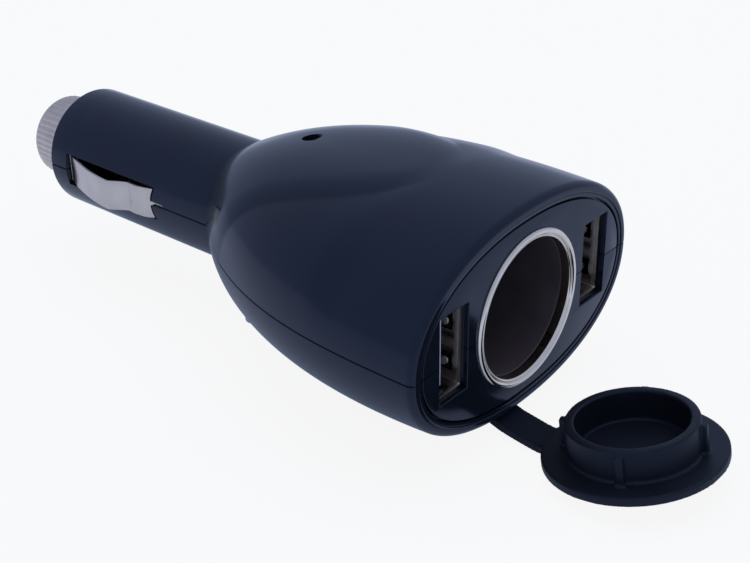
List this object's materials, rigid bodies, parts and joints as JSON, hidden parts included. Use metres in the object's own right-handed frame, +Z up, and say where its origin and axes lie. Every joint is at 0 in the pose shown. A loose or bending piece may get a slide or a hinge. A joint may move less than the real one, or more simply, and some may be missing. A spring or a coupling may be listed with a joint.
{
  "type": "vehicle power plug charger",
  "caption": "Round vehicle power plug flaring into a wide oval head with a round socket, two slim charging ports beside it and a rubber cap on a strap.",
  "frame": {"origin": "middle of the round socket's mouth, in the plane of the front face", "axes": "+Y along the plug towards its tip, +Z up out of the side with the raised pad, +X across the head"},
  "size_m": [0.0544, 0.1398, 0.0367],
  "materials": {
    "shell_black": "polished black moulding with a slight navy cast",
    "tip_metal": "satin turned metal with a fine straight knurl",
    "pin_metal": "satin plated",
    "fuse_metal": "nickel plated",
    "fuse_glass": "clear tube",
    "spring_metal": "stamped spring strip",
    "contact_brass": "plain",
    "ring_chrome": "bright plated",
    "well_plastic": "dark heat-resistant moulding",
    "port_metal": "bright stamped shell",
    "tongue_plastic": "white moulding",
    "board_green": "solder-masked board",
    "chip_black": "moulded package",
    "capacitor_sleeve": "shrink sleeve",
    "lamp_clear": "clear lens",
    "wire_red": "soft insulation",
    "wire_black": "soft insulation",
    "screw_metal": "zinc plated",
    "cap_rubber": "matt moulded rubber"
  },
  "bodies": {
    "housing": {"upper_shell": "shell_black", "lower_shell": "shell_black", "tip_nut": "tip_metal", "contact_spring": "spring_metal", "fuse_sleeve": "contact_brass", "rear_contact": "contact_brass", "socket_ring": "ring_chrome", "socket_well": "well_plastic", "socket_ground_strip": "spring_metal", "socket_centre_contact": "contact_brass", "port_shell_left": "port_metal", "port_shell_right": "port_metal", "port_tongue_left": "tongue_plastic", "port_tongue_right": "tongue_plastic", "port_contacts_left": "contact_brass", "port_contacts_right": "contact_brass", "board_left": "board_green", "board_right": "board_green", "chip": "chip_black", "inductor": "chip_black", "capacitor": "capacitor_sleeve", "led": "lamp_clear", "led_board": "board_green", "positive_wire": "wire_red", "ground_wire_left": "wire_black", "ground_wire_right": "wire_black", "screw_left": "screw_metal", "screw_right": "screw_metal"},
    "pin": {"centre_pin": "pin_metal", "fuse_cap_front": "fuse_metal", "fuse_cap_rear": "fuse_metal", "fuse_tube": "fuse_glass", "fuse_wire": "fuse_metal"},
    "left_spring": {"ground_spring_left": "spring_metal"},
    "right_spring": {"ground_spring_right": "spring_metal"},
    "cap": {"socket_cap": "cap_rubber"}
  },
  "joints": [
    {"name": "pin_slide", "type": "slide", "parent": "housing", "child": "pin", "axis": [0, -1, 0], "range_m": [0, 0.0025], "stiffness_N_per_m": 1200, "springref_m": -0.003, "deforming": ["contact_spring"]},
    {"name": "left_spring_hinge", "type": "hinge", "parent": "housing", "child": "left_spring", "pos_m": [-0.0084, 0.0893, 0], "axis": [0, 0, 1], "range_deg": [0, 8], "stiffness_Nm_per_rad": 0.5},
    {"name": "right_spring_hinge", "type": "hinge", "parent": "housing", "child": "right_spring", "pos_m": [0.0084, 0.0893, 0], "axis": [0, 0, -1], "range_deg": [0, 8], "stiffness_Nm_per_rad": 0.5},
    {"name": "cap_hinge", "type": "hinge", "parent": "housing", "child": "cap", "pos_m": [-0.0027, 0.0039, -0.015], "axis": [1, 0, 0], "range_deg": [-12, 45], "stiffness_Nm_per_rad": 0.03}
  ]
}
